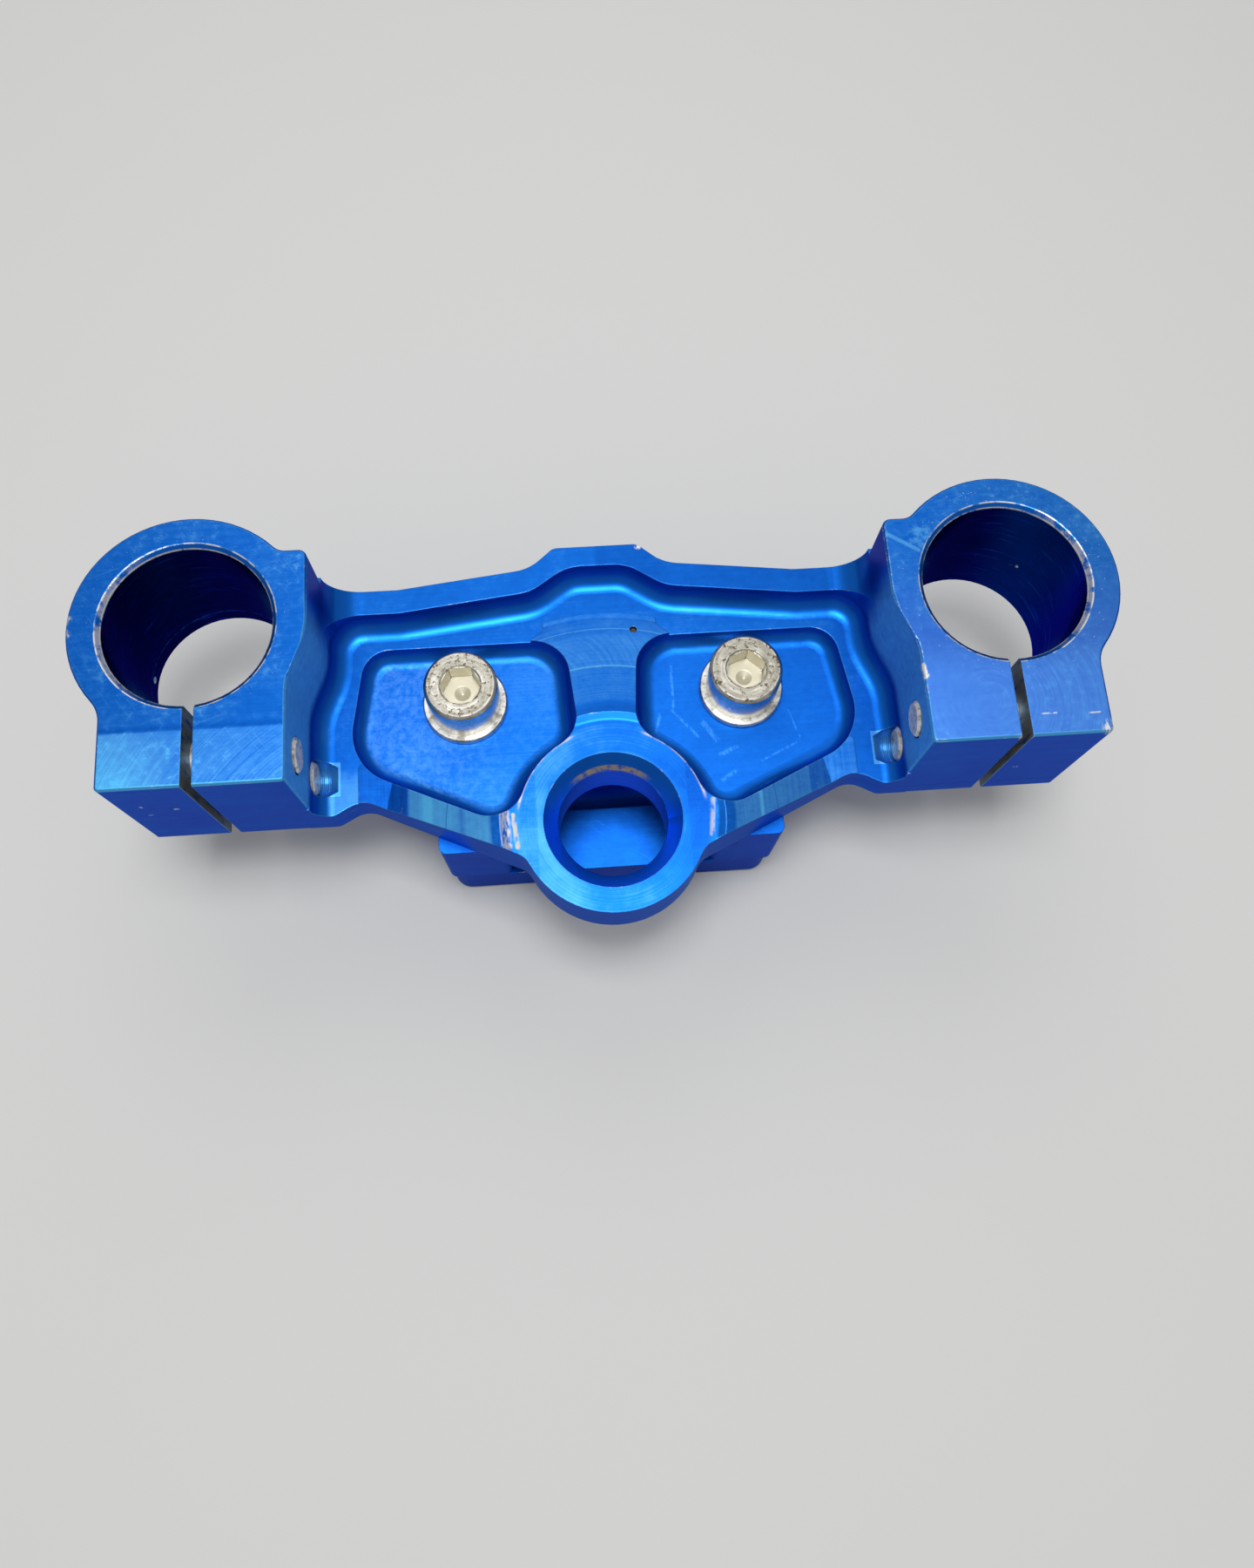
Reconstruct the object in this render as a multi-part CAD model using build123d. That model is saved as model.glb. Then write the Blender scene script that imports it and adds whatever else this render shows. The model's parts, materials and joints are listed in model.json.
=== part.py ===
from build123d import *
import math
import os

# Upper fork yoke of a motorcycle (triple clamp) with its handlebar clamp.
# It is modelled as it stands on a bench: underside up, resting on the bar clamp's cap.
# Origin: steering stem axis at the yoke's flat face, where the bar risers are bolted on.
# X runs across the yoke, Y from the stem towards the forks, Z up. All sizes in millimetres.

# Fork clamps
FORK_SPACING = 200.0  # between the two fork tube axes
FORK_OFFSET = 47.8  # from the stem axis to the line of the fork axes
TUBE_DIAMETER = 41.0
CLAMP_WALL = 7.95  # ring wall round the tube
CLAMP_HEIGHT = 42.5
BORE_CHAMFER = 1.1
EDGE_BREAK = 0.5  # chamfer on the outer edges of the clamp faces
SLOT_WIDTH = 2.7
SLOT_INSET = 1.2  # the split lies this far inboard of the tube axis
EAR_OUTER = 19.8  # outer ear side from the tube axis
EAR_INNER = 23.9  # inner ear side from the tube axis
EAR_REACH = 40.8  # ear front face from the tube axis
EAR_CORNER = 1.2
EAR_BLEND = 8.0  # concave blend of the outer ear side into the ring
SHOULDER_SIDE = 28.7  # inner side of the clamp behind the ear, from the tube axis
SHOULDER_BACK = 18.5  # back corner of the clamp, from the tube axis
SHOULDER_CORNER = 2.2
SHOULDER_BLEND = 4.0  # concave blend of the back corner into the ring
WALL_BEND_BACK = 3.0  # the inner wall starts to step out this far in front of the tube axis
WALL_BEND_FRONT = 15.0  # and is on the ear's line here
WALL_BEND_RADIUS = 20.0

# Pinch bolts, 3/8 inch socket head cap screws
PINCH_DIAMETER = 9.5
PINCH_HEAD_DIAMETER = 14.3
PINCH_HEAD_HEIGHT = 9.5
PINCH_HEX = 7.9
PINCH_LENGTH = 34.0
PINCH_SPACING = 19.5  # upper to lower bolt
PINCH_SETBACK = 9.9  # bolt axis behind the ear front face
PINCH_RECESS = 1.0  # head top below the outer ear side
PINCH_TAP_RUNOUT = 3.4  # the tap runs on past the inner wall, into the web floor
PINCH_TAP_LEAD = 2.4  # and ends in a cone

# Web between the clamps
RIM_TOP = 17.1
RIM_WIDTH = 6.7
RIM_CROWN = 4.1  # the rim's back edge gains this much from the clamps to the hump
RIM_BEND = 53.0  # half width between the bends near the clamps
RIM_BEND_RADIUS = 12.0
HUMP_HEIGHT = 5.8  # hump beyond the rim beside it
HUMP_HALF_WIDTH = 11.3
HUMP_FLANK = 6.7  # each sloping flank, along X
HUMP_WALL = 5.7
HUMP_CORNER = 3.0
HUMP_BLEND = 12.0  # bends of the rim at the hump
RIM_END_FILLET = 9.5  # rim up into the clamp's inner side
GROOVE_FLOOR = 10.0
COVE_RADIUS = 5.0
GROOVE_CORNER = 9.0
NOTCH_X = 64.3  # half width between the notches beside the ears
NOTCH_DEPTH = 3.9
NOTCH_WIDTH = 7.2
NOTCH_RADIUS = 7.0
FLANGE_ANGLE = 24.9  # slant of the front edge, from the notch to the stem boss
FLANGE_TOP = 10.6
FLANGE_HALF_WIDTH = 65.0

# Stem boss and the turned hub round it
STEM_BORE = 28.0
STEM_CHAMFER = 3.7
BOSS_DIAMETER = 48.0
BOSS_BLEND = 6.0
SEAT_DIAMETER = 53.2  # faced seat on top of the boss
SEAT_TOP = 17.1
SEAT_DEPTH = 0.65  # below the crest of the hub
SEAT_RISE = 1.9  # width of the slope from seat to crest
SEAT_ROUND = 2.0
HUB_SLOPE = 0.235
HUB_STEP_DIAMETERS = (84.6, 108.4)
HUB_STEP = 0.12
HUB_DIAMETER = 119.0
HUB_NECK = 15.3  # half width of the hub's back edge between the pockets
HUB_FLARE = 4.0
PIT_DIAMETER = 1.8
PIT_X = 9.0
PIT_Y = 53.8

# Pockets that the riser bolts stand in
POCKET_FLOOR = 6.0
POCKET_FILLET = 4.4
POCKET_DRAFT = 10.0  # the walls lean out by this angle
POCKET_BACK = 51.6  # back edge from the stem axis, at the floor as all these
POCKET_INNER_BACK = 10.7  # inner side from the middle, at the back
POCKET_INNER_FRONT = 9.0  # and at the boss
POCKET_OUTER_BACK = 62.3
POCKET_OUTER_FRONT = 67.3
POCKET_FLANGE = 7.8  # flange left in front of the pocket
POCKET_CORNER = 7.0
POCKET_HUB_CORNER = 10.0  # at the back, beside the hub
POCKET_OUTER_CORNER = 14.0  # in front, beside the clamp

# Riser bolts, 1/2 inch socket head cap screws, and their washers
RISER_BOLT_X = 37.0
RISER_BOLT_Y = 37.0
RISER_BOLT_DIAMETER = 12.7
RISER_BOLT_LENGTH = 22.0
RISER_HEAD_DIAMETER = 19.05
RISER_HEAD_HEIGHT = 12.7
RISER_HEX = 9.5
RISER_HEX_TURN = {"left": 0.0, "right": 18.0}
WASHER_DIAMETER = 22.5
WASHER_THICKNESS = 2.0
WASHER_EDGE = 0.4  # chamfer

# Bar risers, and the cap that joins them
BAR_DIAMETER = 22.2
BAR_Y = 26.3
RISER_HEIGHT = 27.5  # yoke face to the middle of the bar
RISER_WIDTH = 18.0
RISER_REACH = 28.5  # from the bar's middle to the front and to the back
RISER_CORNER = 2.0
CAP_THICKNESS = 16.5
CAP_CORNER = 5.0
CAP_EDGE = 2.0
CAP_SCREW_REACH = 19.0  # screw axes in front of and behind the bar's middle
CAP_SCREW_DIAMETER = 8.0
CAP_SCREW_LENGTH = 18.0
CAP_SCREW_HEAD_DIAMETER = 13.0
CAP_SCREW_HEAD_HEIGHT = 8.0
CAP_SCREW_HEX = 6.0
CAP_SCREW_RECESS = 0.7

# Fits and small fastener details
HEAD_ROOM = 0.6  # radial room round a recessed head
SHANK_ROOM = 0.35  # radial room in a plain bolt hole
THREAD_ROOM = 0.05  # radial room in a tapped hole
TAP_DEPTH = 1.0  # a blind hole goes this far past its screw
SOCKET_DEPTH = 0.5  # for each unit of head height
SOCKET_LEAD = 0.4  # chamfer at the mouth of a socket
DRILL_POINT = 0.45  # width of the drill point in a socket, for each unit of hex size
DRILL_POINT_DEPTH = 0.5  # for each unit of its radius
HEAD_CHAMFER = 0.8
TIP_CHAMFER = 0.8
OVERCUT = 1.0  # a cutter runs this far past the face it opens

# Worked out from the sizes above
FORK_X = FORK_SPACING / 2
TUBE_RADIUS = TUBE_DIAMETER / 2
RING_RADIUS = TUBE_RADIUS + CLAMP_WALL
EAR_FRONT = FORK_OFFSET - EAR_REACH
EAR_SIDE_X = FORK_X + EAR_OUTER
EAR_WALL_X = FORK_X - EAR_INNER
SHOULDER_X = FORK_X - SHOULDER_SIDE
CLAMP_BACK = FORK_OFFSET + SHOULDER_BACK
PINCH_Y = EAR_FRONT + PINCH_SETBACK
PINCH_SEAT_X = EAR_SIDE_X - PINCH_RECESS - PINCH_HEAD_HEIGHT
PINCH_LEVELS = {
    "upper": CLAMP_HEIGHT / 2 + PINCH_SPACING / 2,
    "lower": CLAMP_HEIGHT / 2 - PINCH_SPACING / 2,
}
HUMP_FOOT = CLAMP_BACK + RIM_CROWN
HUMP_TOP = HUMP_FOOT + HUMP_HEIGHT
FLANGE_SLOPE = math.tan(math.radians(FLANGE_ANGLE))
FLANGE_APEX = EAR_FRONT + NOTCH_DEPTH - NOTCH_X * FLANGE_SLOPE  # where the front edges meet
POCKET_APEX = FLANGE_APEX + POCKET_FLANGE / math.cos(math.radians(FLANGE_ANGLE))
BOSS_RADIUS = BOSS_DIAMETER / 2
SEAT_RADIUS = SEAT_DIAMETER / 2
CREST_RADIUS = SEAT_RADIUS + SEAT_RISE
CREST_TOP = SEAT_TOP + SEAT_DEPTH
RISER_OUTER_X = RISER_BOLT_X + RISER_WIDTH / 2
RISER_SEAT = POCKET_FLOOR + WASHER_THICKNESS
RISER_HOLE_RADIUS = RISER_BOLT_DIAMETER / 2 + SHANK_ROOM
CAP_BOTTOM = -RISER_HEIGHT - CAP_THICKNESS
CAP_SEAT = CAP_BOTTOM + CAP_SCREW_RECESS + CAP_SCREW_HEAD_HEIGHT
CAP_SCREW_Y = {"front": BAR_Y - CAP_SCREW_REACH, "rear": BAR_Y + CAP_SCREW_REACH}
FRONT = -2 * BOSS_RADIUS  # in front of everything on the yoke
ABOVE = 2 * CLAMP_HEIGHT  # above everything on the yoke
SIDES = {"left": -1, "right": 1}


def rounded_face(corners):
    """A flat face through (x, y, corner radius) points."""
    points = [(x, y) for x, y, _ in corners]
    radii = [radius for _, _, radius in corners]
    return make_face(FilletPolyline(points, radius=radii, close=True))


def symmetric_face(right_half):
    """A flat face from the (x, y, corner radius) points of its right half, front to back."""
    left_half = [(-x, y, radius) for x, y, radius in reversed(right_half) if x > 0]
    return rounded_face(right_half + left_half)


def soften(face, point, radius):
    """Rounds the corner of a flat face that lies nearest to a point."""
    return fillet(face.vertices().sort_by_distance(point)[0], radius)


def plate(face, bottom, top):
    """A flat face raised from one level to another."""
    return extrude(Pos(0, 0, bottom) * face, top - bottom, dir=(0, 0, 1))


def post(x, y, bottom, top, radius):
    """An upright round bar."""
    return plate(Pos(x, y) * Circle(radius), bottom, top)


def cross_bar(x_from, x_to, y, z, radius):
    """A round bar that lies along X."""
    length = x_to - x_from
    return Pos((x_from + x_to) / 2, y, z) * Rot(0, 90, 0) * Cylinder(radius, length)


def mirrored(solid):
    """The same solid on the other side of the yoke."""
    return mirror(solid, about=Plane.YZ)


def inner_wall():
    """The bent stretch of a clamp's inner wall, front to back."""
    return [
        (EAR_WALL_X, FORK_OFFSET - WALL_BEND_FRONT, WALL_BEND_RADIUS),
        (SHOULDER_X, FORK_OFFSET - WALL_BEND_BACK, WALL_BEND_RADIUS),
    ]


def fork_clamp():
    """The right fork clamp: split ring, ear and shoulder at full height, not bored yet."""
    block = rounded_face(
        [
            (EAR_SIDE_X, FORK_OFFSET, 0),
            (EAR_SIDE_X, EAR_FRONT, EAR_CORNER),
            (EAR_WALL_X, EAR_FRONT, EAR_CORNER),
            *inner_wall(),
            (SHOULDER_X, CLAMP_BACK, SHOULDER_CORNER),
            (FORK_X, CLAMP_BACK, 0),
        ]
    )
    outline = block + Pos(FORK_X, FORK_OFFSET) * Circle(RING_RADIUS)
    ring_meets_ear = FORK_OFFSET - math.sqrt(RING_RADIUS**2 - EAR_OUTER**2)
    ring_meets_back = FORK_X - math.sqrt(RING_RADIUS**2 - SHOULDER_BACK**2)
    outline = soften(outline, (EAR_SIDE_X, ring_meets_ear), EAR_BLEND)
    straight_back = ring_meets_back - SHOULDER_X - SHOULDER_CORNER
    outline = soften(outline, (ring_meets_back, CLAMP_BACK), min(SHOULDER_BLEND, straight_back))
    clamp = plate(outline, 0, CLAMP_HEIGHT)
    faces = clamp.faces().sort_by(Axis.Z)
    return chamfer(faces[0].edges() + faces[-1].edges(), EDGE_BREAK)


def web_outline():
    """Plan of the web from ear to ear, with the hump at the back and the stem boss in front."""
    plan = symmetric_face(
        [
            (0, FLANGE_APEX, 0),
            (NOTCH_X, EAR_FRONT + NOTCH_DEPTH, NOTCH_RADIUS),
            (NOTCH_X + NOTCH_WIDTH, EAR_FRONT, NOTCH_RADIUS / 2),
            (FORK_X - TUBE_RADIUS, EAR_FRONT, 0),
            (FORK_X - TUBE_RADIUS, CLAMP_BACK, 0),
            (RIM_BEND, CLAMP_BACK, RIM_BEND_RADIUS),
            (HUMP_HALF_WIDTH + HUMP_FLANK, HUMP_FOOT, HUMP_BLEND),
            (HUMP_HALF_WIDTH, HUMP_TOP, HUMP_CORNER),
        ]
    )
    plan += Circle(BOSS_RADIUS)
    for side in SIDES.values():
        plan = soften(plan, (side * BOSS_RADIUS, -BOSS_RADIUS / 3), BOSS_BLEND)
    return plan


def groove():
    """What the ball-nosed cutter takes out inside the rim, with its coved edge."""
    plan = symmetric_face(
        [
            (EAR_WALL_X, FRONT, 0),
            *inner_wall(),
            (SHOULDER_X, CLAMP_BACK - RIM_WIDTH, GROOVE_CORNER),
            (RIM_BEND, CLAMP_BACK - RIM_WIDTH, RIM_BEND_RADIUS),
            (HUMP_HALF_WIDTH + HUMP_FLANK, HUMP_FOOT - RIM_WIDTH, HUMP_BLEND),
            (HUMP_HALF_WIDTH - HUMP_FLANK / 2, HUMP_TOP - HUMP_WALL, HUMP_BLEND),
        ]
    )
    cutter = plate(plan, GROOVE_FLOOR, ABOVE)
    floor_edges = cutter.faces().sort_by(Axis.Z)[0].edges()
    return fillet(floor_edges.filter_by(lambda edge: edge.center().Y > FRONT + OVERCUT), COVE_RADIUS)


def rim_end():
    """The fillet that carries the right end of the rim up into its clamp."""
    depth = RIM_WIDTH + GROOVE_CORNER
    middle_y = CLAMP_BACK - depth / 2
    left_x = SHOULDER_X - RIM_END_FILLET
    right_x = SHOULDER_X + SHOULDER_CORNER
    top = RIM_TOP + RIM_END_FILLET
    block = Pos((left_x + right_x) / 2, middle_y, top / 2) * Box(right_x - left_x, depth, top)
    return block - Pos(left_x, middle_y, top) * Rot(90, 0, 0) * Cylinder(RIM_END_FILLET, 2 * depth)


def hub(plan):
    """The turned cone round the stem boss, kept inside the web's plan."""
    corners = [
        (0, 0, 0),
        (0, SEAT_TOP, 0),
        (SEAT_RADIUS, SEAT_TOP, SEAT_ROUND),
        (CREST_RADIUS, CREST_TOP, 0),
    ]
    radius, level = CREST_RADIUS, CREST_TOP
    for step_diameter in HUB_STEP_DIAMETERS:
        level -= (step_diameter / 2 - radius) * HUB_SLOPE
        radius = step_diameter / 2
        corners.append((radius, level, 0))
        level -= HUB_STEP
        radius += HUB_STEP
        corners.append((radius, level, 0))
    radius += (level - FLANGE_TOP) / HUB_SLOPE
    corners += [(radius, FLANGE_TOP, 0), (FORK_X, FLANGE_TOP, 0), (FORK_X, 0, 0)]
    cone = revolve(Plane.XZ * rounded_face(corners), Axis.Z)
    flange = symmetric_face(
        [
            (FLANGE_HALF_WIDTH, FRONT, 0),
            (FLANGE_HALF_WIDTH, POCKET_APEX + FLANGE_HALF_WIDTH * FLANGE_SLOPE, 0),
            (HUB_NECK + HUB_FLARE, POCKET_BACK, 0),
        ]
    )
    neck = symmetric_face(
        [
            (HUB_NECK + HUB_FLARE, 0, 0),
            (HUB_NECK + HUB_FLARE, POCKET_BACK, 0),
            (HUB_NECK, POCKET_BACK + HUB_FLARE, 0),
            (HUB_NECK, HUB_DIAMETER, 0),
        ]
    )
    allowed = flange + (neck & Circle(HUB_DIAMETER / 2))
    return cone & plate(plan & allowed, 0, ABOVE)


def pocket():
    """What is milled out for the right riser bolt, with a rounded floor edge."""
    plan = rounded_face(
        [
            (POCKET_INNER_FRONT, POCKET_APEX + POCKET_INNER_FRONT * FLANGE_SLOPE, 0),
            (POCKET_OUTER_FRONT, POCKET_APEX + POCKET_OUTER_FRONT * FLANGE_SLOPE, POCKET_OUTER_CORNER),
            (POCKET_OUTER_BACK, POCKET_BACK, POCKET_CORNER),
            (POCKET_INNER_BACK, POCKET_BACK, POCKET_HUB_CORNER),
            (POCKET_INNER_FRONT, BOSS_RADIUS / 2, 0),
        ]
    )
    wall = SEAT_TOP - POCKET_FLOOR
    plan -= Circle(BOSS_RADIUS + wall * math.tan(math.radians(POCKET_DRAFT)))
    plan = fillet(plan.vertices().sort_by_distance((0, 0))[:2], POCKET_CORNER)
    cutter = extrude(Pos(0, 0, POCKET_FLOOR) * plan, wall + OVERCUT, dir=(0, 0, 1), taper=-POCKET_DRAFT)
    return fillet(cutter.faces().sort_by(Axis.Z)[0].edges(), POCKET_FILLET)


def flared_mouth(radius, width):
    """A cone that opens upwards and breaks the edge of a hole to the given radius at its middle."""
    return Cone(radius - width, radius + width, 2 * width)


def tube_bore():
    """Bore of the right fork clamp with chamfered mouths, and the split that runs out in front."""
    bore = post(FORK_X, FORK_OFFSET, -OVERCUT, CLAMP_HEIGHT + OVERCUT, TUBE_RADIUS)
    mouth = flared_mouth(TUBE_RADIUS + BORE_CHAMFER, BORE_CHAMFER)
    bore += Pos(FORK_X, FORK_OFFSET, CLAMP_HEIGHT) * mouth
    bore += Pos(FORK_X, FORK_OFFSET, 0) * Rot(180, 0, 0) * mouth
    slot_length = 2 * EAR_REACH
    slot = Box(SLOT_WIDTH, slot_length, 2 * ABOVE)
    return bore + Pos(FORK_X - SLOT_INSET, FORK_OFFSET - slot_length / 2, 0) * slot


def pinch_hole(level):
    """Counterbore, clearance hole and tapped hole of one pinch bolt in the right ear."""
    slot_x = FORK_X - SLOT_INSET
    tap_end = EAR_WALL_X - PINCH_TAP_RUNOUT
    head = cross_bar(PINCH_SEAT_X, FORK_SPACING, PINCH_Y, level, PINCH_HEAD_DIAMETER / 2 + HEAD_ROOM)
    shank = cross_bar(slot_x, PINCH_SEAT_X, PINCH_Y, level, PINCH_DIAMETER / 2 + SHANK_ROOM)
    tap_radius = PINCH_DIAMETER / 2 + THREAD_ROOM
    thread = cross_bar(tap_end, slot_x, PINCH_Y, level, tap_radius)
    lead = Rot(0, 90, 0) * Cone(tap_radius - PINCH_TAP_LEAD / 2, tap_radius, PINCH_TAP_LEAD)
    return head + shank + thread + Pos(tap_end - PINCH_TAP_LEAD / 2, PINCH_Y, level) * lead


def clamp_body():
    """The yoke itself, milled from one billet."""
    plan = web_outline()
    right = fork_clamp() + rim_end()
    body = plate(plan, 0, RIM_TOP) + right + mirrored(right) - groove() + hub(plan)
    bolt_hole = post(RISER_BOLT_X, RISER_BOLT_Y, -OVERCUT, ABOVE, RISER_HOLE_RADIUS)
    cuts = [pocket(), tube_bore(), bolt_hole]
    cuts += [pinch_hole(level) for level in PINCH_LEVELS.values()]
    for cut in cuts:
        body -= cut
        body -= mirrored(cut)
    body -= post(0, 0, -OVERCUT, ABOVE, STEM_BORE / 2)
    body -= Pos(0, 0, SEAT_TOP) * flared_mouth(STEM_BORE / 2 + STEM_CHAMFER, STEM_CHAMFER)
    return body - post(PIT_X, PIT_Y, GROOVE_FLOOR, ABOVE, PIT_DIAMETER / 2)


def cap_screw(diameter, length, head_diameter, head_height, hex_size):
    """A socket head cap screw: axis on Z, head above zero, shank below."""
    head = post(0, 0, 0, head_height, head_diameter / 2)
    head = chamfer(head.edges().sort_by(Axis.Z)[-1], HEAD_CHAMFER)
    shank = post(0, 0, -length, 0, diameter / 2)
    shank = chamfer(shank.edges().sort_by(Axis.Z)[0], TIP_CHAMFER)
    floor = head_height * (1 - SOCKET_DEPTH)
    socket = plate(RegularPolygon(hex_size / 2, 6, major_radius=False), floor, head_height)
    point_radius = hex_size * DRILL_POINT / 2
    point_depth = point_radius * DRILL_POINT_DEPTH
    point = Pos(0, 0, floor - point_depth / 2) * Cone(0, point_radius, point_depth)
    lead = Pos(0, 0, head_height) * flared_mouth(hex_size / math.sqrt(3), SOCKET_LEAD)
    return head + shank - socket - point - lead


def riser_bolt(side):
    """One of the two large bolts that hold the bar risers."""
    bolt = cap_screw(
        RISER_BOLT_DIAMETER, RISER_BOLT_LENGTH, RISER_HEAD_DIAMETER, RISER_HEAD_HEIGHT, RISER_HEX
    )
    place = Pos(SIDES[side] * RISER_BOLT_X, RISER_BOLT_Y, RISER_SEAT)
    return place * Rot(0, 0, RISER_HEX_TURN[side]) * bolt


def riser_washer(side):
    """The plain washer under a riser bolt's head."""
    disc = post(0, 0, POCKET_FLOOR, RISER_SEAT, WASHER_DIAMETER / 2)
    disc = chamfer(disc.edges().filter_by(GeomType.CIRCLE), WASHER_EDGE)
    disc -= post(0, 0, 0, ABOVE, RISER_HOLE_RADIUS)
    return Pos(SIDES[side] * RISER_BOLT_X, RISER_BOLT_Y, 0) * disc


def pinch_bolt(side, level):
    """A pinch bolt, head recessed in the outer side of its ear."""
    bolt = cap_screw(PINCH_DIAMETER, PINCH_LENGTH, PINCH_HEAD_DIAMETER, PINCH_HEAD_HEIGHT, PINCH_HEX)
    place = Pos(SIDES[side] * PINCH_SEAT_X, PINCH_Y, PINCH_LEVELS[level])
    return place * Rot(0, SIDES[side] * 90, 0) * bolt


def bar_bore():
    """The bar that both risers and the cap grip, from end to end."""
    reach = RISER_OUTER_X + OVERCUT
    return cross_bar(-reach, reach, BAR_Y, -RISER_HEIGHT, BAR_DIAMETER / 2)


def screw_place(side, row):
    """Place of a cap screw: seat of its head, pointing down."""
    return Pos(SIDES[side] * RISER_BOLT_X, CAP_SCREW_Y[row], CAP_SEAT) * Rot(180, 0, 0)


def bar_riser(side):
    """The post between the yoke and the bar, tapped for its bolt and for the cap's screws."""
    middle_x = SIDES[side] * RISER_BOLT_X
    plan = Pos(middle_x, BAR_Y) * RectangleRounded(RISER_WIDTH, 2 * RISER_REACH, RISER_CORNER)
    riser = plate(plan, -RISER_HEIGHT, 0) - bar_bore()
    bolt_end = RISER_SEAT - RISER_BOLT_LENGTH - TAP_DEPTH
    riser -= post(middle_x, RISER_BOLT_Y, bolt_end, OVERCUT, RISER_BOLT_DIAMETER / 2 + THREAD_ROOM)
    screw_end = CAP_SEAT + CAP_SCREW_LENGTH + TAP_DEPTH
    for y in CAP_SCREW_Y.values():
        riser -= post(middle_x, y, CAP_BOTTOM, screw_end, CAP_SCREW_DIAMETER / 2 + THREAD_ROOM)
    return riser


def bar_clamp_cap():
    """The one-piece cap that closes both risers on the bar, with recessed screws."""
    plan = Pos(0, BAR_Y) * RectangleRounded(2 * RISER_OUTER_X, 2 * RISER_REACH, CAP_CORNER)
    cap = plate(plan, CAP_BOTTOM, -RISER_HEIGHT)
    cap = chamfer(cap.faces().sort_by(Axis.Z)[0].edges(), CAP_EDGE) - bar_bore()
    for side in SIDES.values():
        for y in CAP_SCREW_Y.values():
            x = side * RISER_BOLT_X
            cap -= post(x, y, CAP_BOTTOM, 0, CAP_SCREW_DIAMETER / 2 + SHANK_ROOM)
            cap -= post(x, y, CAP_BOTTOM, CAP_SEAT, CAP_SCREW_HEAD_DIAMETER / 2 + HEAD_ROOM)
    return cap


def bar_cap_screw(side, row):
    """A screw of the bar clamp's cap, driven from below."""
    screw = cap_screw(
        CAP_SCREW_DIAMETER, CAP_SCREW_LENGTH, CAP_SCREW_HEAD_DIAMETER, CAP_SCREW_HEAD_HEIGHT, CAP_SCREW_HEX
    )
    return screw_place(side, row) * screw


nodes = {"clamp_body": clamp_body(), "bar_clamp_cap": bar_clamp_cap()}
for side in SIDES:
    nodes[f"{side}_bar_riser"] = bar_riser(side)
    nodes[f"{side}_riser_bolt"] = riser_bolt(side)
    nodes[f"{side}_riser_washer"] = riser_washer(side)
    for level in PINCH_LEVELS:
        nodes[f"{side}_{level}_pinch_bolt"] = pinch_bolt(side, level)
    for row in CAP_SCREW_Y:
        nodes[f"{side}_{row}_cap_screw"] = bar_cap_screw(side, row)

os.makedirs("parts", exist_ok=True)
for name, solid in nodes.items():
    export_step(solid, f"parts/{name}.step")
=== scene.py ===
"""Looks of a worn, blue anodised fork yoke, dressed over its solids and lit in a plain studio."""
import json
import math
from types import SimpleNamespace

import bpy
from mathutils import Matrix, Vector


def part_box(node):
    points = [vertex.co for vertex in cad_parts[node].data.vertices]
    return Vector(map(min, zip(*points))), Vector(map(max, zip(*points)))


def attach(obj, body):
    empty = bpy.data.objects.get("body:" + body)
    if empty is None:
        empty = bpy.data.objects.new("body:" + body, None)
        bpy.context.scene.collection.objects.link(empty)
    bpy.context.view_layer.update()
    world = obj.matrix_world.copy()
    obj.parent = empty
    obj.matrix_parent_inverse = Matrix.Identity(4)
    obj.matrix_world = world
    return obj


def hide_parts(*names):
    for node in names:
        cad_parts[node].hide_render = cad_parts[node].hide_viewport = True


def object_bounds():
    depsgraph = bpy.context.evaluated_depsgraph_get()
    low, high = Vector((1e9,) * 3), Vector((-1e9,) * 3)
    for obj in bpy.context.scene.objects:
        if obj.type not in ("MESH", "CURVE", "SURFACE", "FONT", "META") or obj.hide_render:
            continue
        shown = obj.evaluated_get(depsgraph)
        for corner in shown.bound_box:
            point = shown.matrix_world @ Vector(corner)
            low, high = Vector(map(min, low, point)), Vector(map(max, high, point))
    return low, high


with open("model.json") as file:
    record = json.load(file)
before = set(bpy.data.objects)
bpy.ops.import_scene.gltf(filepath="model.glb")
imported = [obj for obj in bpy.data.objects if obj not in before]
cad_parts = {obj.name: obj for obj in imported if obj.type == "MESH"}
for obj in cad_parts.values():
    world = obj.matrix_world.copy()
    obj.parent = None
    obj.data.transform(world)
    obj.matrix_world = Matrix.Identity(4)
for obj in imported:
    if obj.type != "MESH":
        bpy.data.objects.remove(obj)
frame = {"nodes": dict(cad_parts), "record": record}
cad_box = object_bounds()

MM = 0.001

# Places on the part that the frame gives, in millimetres
mounts = {mount["name"]: mount for mount in frame["record"]["mounts"]}
FORK_X, FORK_Y, _ = [value / MM for value in mounts["right_fork_clamp"]["pos_m"]]
TUBE_RADIUS = mounts["right_fork_clamp"]["dims"]["r_mm"]
STEM_RADIUS = mounts["steering_stem_bore"]["dims"]["r_mm"]
STEM_WALL = mounts["steering_stem_bore"]["dims"]["length_mm"]
CLAMP_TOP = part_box("clamp_body")[1].z / MM
POCKET_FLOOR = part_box("left_riser_washer")[0].z / MM
GROUND = cad_box[0].z / MM
_, PINCH_Y, PINCH_LOW = [sum(ends) / 2 / MM for ends in zip(*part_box("left_lower_pinch_bolt"))]

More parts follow.
